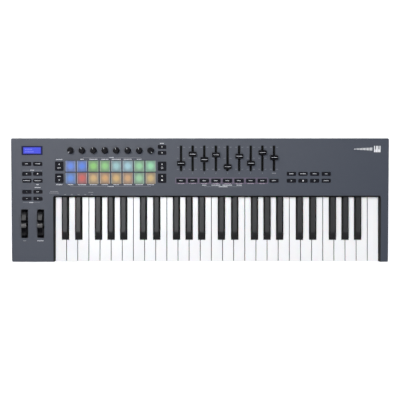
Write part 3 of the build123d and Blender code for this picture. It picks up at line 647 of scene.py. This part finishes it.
def print_left_block(marks, faint):
    """Captions round the left block's buttons and wheels."""
    menu, navigation = centres("menu_buttons"), centres("navigation_buttons")
    octave = centres("octave_buttons")
    left, right = menu[0].x, menu[1].x
    bracket(marks, faint, navigation[0].y + 7.4 * MM, left - 8 * MM, right + 8 * MM, 8 * MM, -1.2 * MM)
    for offset, width in ((-8.4, 6), (-14.4, 13)):
        place = panel_place(right, navigation[2].y + offset * MM, MARK_LIFT)
        marks.words(place, 0, 0, width * MM, CAPTION, seed=1)
    bracket(marks, faint, octave[2].y - 8.2 * MM, left - 8 * MM, right + 3 * MM, 8 * MM, 1.2 * MM)
    for wheel, width in (("pitch_wheel", 6), ("modulation_wheel", 14)):
        low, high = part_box(wheel)
        place = panel_place(JOINTS[wheel + "_turn"]["pos_m"][0], low.y - 5.8 * MM, MARK_LIFT)
        ink = marks if wheel == "modulation_wheel" else faint
        ink.words(place, 0, 0, width * MM, CAPTION, seed=4)


def print_key_marks(faint):
    """Small captions on the panel just above the keys."""
    first_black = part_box("octave_1_keys_black")[0].x
    edge = key_opening()[2] + 3.2 * MM
    for rise, width in ((8.4, 17), (5.4, 21)):
        place = panel_place(first_black - 14.5 * MM, edge + rise * MM, MARK_LIFT)
        faint.words(place, 0, 0, width * MM, CAPTION * 0.8, seed=width)
    for i in range(5):
        place = panel_place(first_black + (8.4 + 13.9 * i) * MM, edge + 2.4 * MM, MARK_LIFT)
        faint.words(place, 0, 0, 4 * MM, CAPTION * 0.8, seed=i)
    faint.words(panel_place(first_black + 62 * MM, edge + 7 * MM, MARK_LIFT), 0, 0, 10 * MM, CAPTION * 0.8)


def print_emblem(marks):
    """A plain emblem in the far right corner: a row of level bars, then a few piano keys."""
    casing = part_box("top_case")[1]
    keys_x, y = casing.x - 24.5 * MM, casing.y - 22.5 * MM
    place = panel_place(keys_x, y, MARK_LIFT)
    key, gap, tall = 3.0 * MM, 0.5 * MM, 13.2 * MM
    for i in range(4):
        x = (i - 1.5) * (key + gap)
        trim_left = 0.8 * MM if i in (1, 3) else 0.0
        trim_right = 0.8 * MM if i in (0, 2) else 0.0
        marks.outline(place, [
            (x - key / 2, -tall / 2), (x + key / 2, -tall / 2), (x + key / 2, -tall * 0.05),
            (x + key / 2 - trim_right, -tall * 0.05), (x + key / 2 - trim_right, tall / 2),
            (x - key / 2 + trim_left, tall / 2), (x - key / 2 + trim_left, -tall * 0.05),
            (x - key / 2, -tall * 0.05),
        ])
    bars, pitch = 13, 3.0 * MM
    for i in range(bars):
        height = (1.6 + 0.42 * i) * MM
        marks.bar(place, -11.5 * MM - (bars - 1 - i) * pitch, 0, 1.7 * MM, height)


def print_panel():
    """Everything printed on the casing."""
    marks = Print("panel_print", "casing", INK, CASING_SLOT)
    faint = Print("panel_print_faint", "casing", INK_FAINT, CASING_SLOT)
    print_pads(marks, faint)
    print_faders(marks, faint)
    print_left_block(marks, faint)
    print_key_marks(faint)
    marks.finish()
    faint.finish()
    print_fader_trim()
    emblem = Print("panel_emblem", "casing", INK_WHITE, CASING_SLOT)
    print_emblem(emblem)
    emblem.finish()


def icon_cross(marks, place, upright):
    marks.bar(place, 0, 0, 2.6 * MM, 0.6 * MM)
    if upright:
        marks.bar(place, 0, 0, 0.6 * MM, 2.6 * MM)


def print_icons():
    """The symbols on the buttons. Each button's list holds what is drawn on it, in a bright or dull ink."""
    up, down, left, right = 90, 270, 180, 0

    def arrow(angle, size=1.6, y=0.0):
        return lambda marks, place: marks.triangle(place, 0, y * MM, size * MM, angle)

    def words(width, y=0.0):
        return lambda marks, place: marks.words(place, 0, y * MM, width * MM, 1.3 * MM, seed=int(width))

    def disc(radius, y=0.0):
        return lambda marks, place: marks.disc(place, 0, y * MM, radius * MM)

    def ring(radius, y=0.0):
        return lambda marks, place: marks.ring(place, 0, y * MM, radius * MM, 0.5 * MM)

    def square(size):
        return lambda marks, place: marks.bar(place, 0, 0, size * MM, size * MM)

    def sign(upright):
        return lambda marks, place: icon_cross(marks, place, upright)

    bright, dull = True, False
    icons = {
        "menu_buttons": [(dull, words(6)), (dull, words(11))],
        "navigation_buttons": [
            (dull, arrow(left)), (bright, arrow(right, 1.9)), (dull, words(14)), (dull, words(14)),
        ],
        "octave_buttons": [(dull, sign(False)), (dull, words(6)), (dull, sign(False)), (dull, sign(True))],
        "knob_bank_buttons": [(bright, arrow(up)), (bright, arrow(down))],
        "pad_side_buttons": [
            (dull, arrow(up, 2.0, 4.0), words(8, -3.8)), (dull, arrow(up, 2.0, 4.0), ring(2.0, -3.6)),
            (dull, words(8, 3.8), arrow(down, 2.0, -4.0)), (bright, arrow(down, 1.8, 4.0), disc(1.5, -4.0)),
        ],
        "fader_buttons": [(dull, words(8))] * 9,
        "transport_buttons": [
            (dull, words(9)), (dull, words(12)), (dull, words(8)), (dull, words(6)),
            (dull, arrow(right, 1.5)), (bright, square(2.8)), (dull, ring(1.5)), (dull, words(11)),
        ],
    }
    for node, drawings in icons.items():
        lift = height_over_panel(node) + MARK_LIFT
        plain = Print(node[:-8] + "_icons", node, INK, "button_rubber")
        lit = Print(node[:-8] + "_icons_lit", node, INK_WHITE, "button_rubber")
        for centre, (is_bright, *shapes) in zip(centres(node), drawings):
            # The box's middle lies under the face, so the face is found at the same plan position
            place = panel_place(centre.x, centre.y, lift)
            for draw in shapes:
                draw(lit if is_bright else plain, place)
        for marks in (plain, lit):
            if marks.bm.verts:
                marks.finish()


def dress_faders():
    """A light line across each fader's cap."""
    for number in range(1, 10):
        node = f"fader_{number}"
        low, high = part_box(node)
        centre_y = sum(v.co.y for v in NODES[node].data.vertices) / len(NODES[node].data.vertices)
        lift = height_over_panel(node)
        place = panel_place((low.x + high.x) / 2, centre_y, lift + MARK_LIFT)
        line = Print(f"fader_line_{number}", node, INK, "fader_plastic")
        line.bar(place, 0, 0.4 * MM, high.x - low.x - 4.2 * MM, 0.75 * MM)
        line.finish()


def dress_knobs():
    """A pale pointer in the groove of each knob."""
    groove = (0.8 * MM, 3.6 * MM)
    for number in range(1, 9):
        node = f"knob_{number}"
        x, y, _ = JOINTS[node + "_turn"]["pos_m"]
        turn = JOINTS[node + "_turn"]["range_deg"][1] - KNOB_SWEEP
        lift = height_over_panel(node) - 0.5 * MM
        place = panel_place(x, y, lift) @ Matrix.Rotation(math.radians(-turn), 4, "Z")
        pointer = Print(f"knob_pointer_{number}", node, INK, "knob_plastic")
        pointer.bar(place, 0, 4.6 * MM, *groove)
        pointer.finish()


# ------------------------------------------------------------------ stage
CAMERA_HEIGHT = 2.565
LENS = 107.7


def make_stage():
    mesh = bpy.data.meshes.new("floor")
    reach = 4.0
    corners = [(-reach, -reach, 0), (reach, -reach, 0), (reach, reach, 0), (-reach, reach, 0)]
    mesh.from_pydata(corners, [], [(0, 1, 2, 3)])
    mesh.materials.append(paper_floor())
    floor = bpy.data.objects.new("floor", mesh)
    bpy.context.scene.collection.objects.link(floor)


def area_light(name, place, target, size, power, colour, only=None):
    """A rectangular lamp aimed at target. With only, it lights just that part, "diffuse" or "glossy"."""
    data = bpy.data.lights.new(name, "AREA")
    data.shape, data.size, data.size_y = "RECTANGLE", *size
    data.energy, data.color = power, colour
    light = bpy.data.objects.new(name, data)
    light.location = place
    light.rotation_euler = (Vector(target) - Vector(place)).to_track_quat("-Z", "Y").to_euler()
    light.visible_camera = False
    light.visible_glossy = only != "diffuse"
    light.visible_diffuse = only != "glossy"
    bpy.context.scene.collection.objects.link(light)


def make_lights():
    """An even fill and a broad sheen overhead, a key light at the left, gloss from behind, a dim sky."""
    area_light("fill_light", (0.5, -0.5, 2.5), (0, 0, 0), (2.4, 1.6), 45, (1.0, 1.0, 1.0), "diffuse")
    area_light("sheen_light", (-0.14, 0.3, 2.5), (0, 0, 0), (1.0, 0.7), 10, (0.9, 0.95, 1.0))
    area_light("key_light", (-0.75, 0.5, 2.3), (-0.1, 0, 0), (0.4, 0.4), 19, (1.0, 0.98, 1.0))
    area_light("rear_light", (-0.6, 1.8, 1.4), (-0.2, 0, 0), (1.6, 1.9), 32, (0.97, 0.98, 1.0), "glossy")
    world = bpy.data.worlds.new("sky")
    world.use_nodes = True
    background = world.node_tree.nodes["Background"]
    background.inputs["Color"].default_value = (0.92, 0.96, 1.0, 1)
    background.inputs["Strength"].default_value = 0.05
    bpy.context.scene.world = world


def make_exposure():
    """Plain display colours, so a white floor stays white."""
    view = bpy.context.scene.view_settings
    view.view_transform, view.look = "Standard", "None"


def make_camera():
    """Straight above the keyboard's centre, as far off as its perspective shows."""
    data = bpy.data.cameras.new("camera")
    data.lens = LENS
    camera = bpy.data.objects.new("camera", data)
    camera.location = (0, 0.5 * MM, CAMERA_HEIGHT)
    bpy.context.scene.collection.objects.link(camera)
    bpy.context.scene.camera = camera


# ------------------------------------------------------------------ everything together
finish_nodes()
print_panel()
print_icons()
dress_faders()
dress_knobs()
make_stage()
make_lights()
make_exposure()
make_camera()
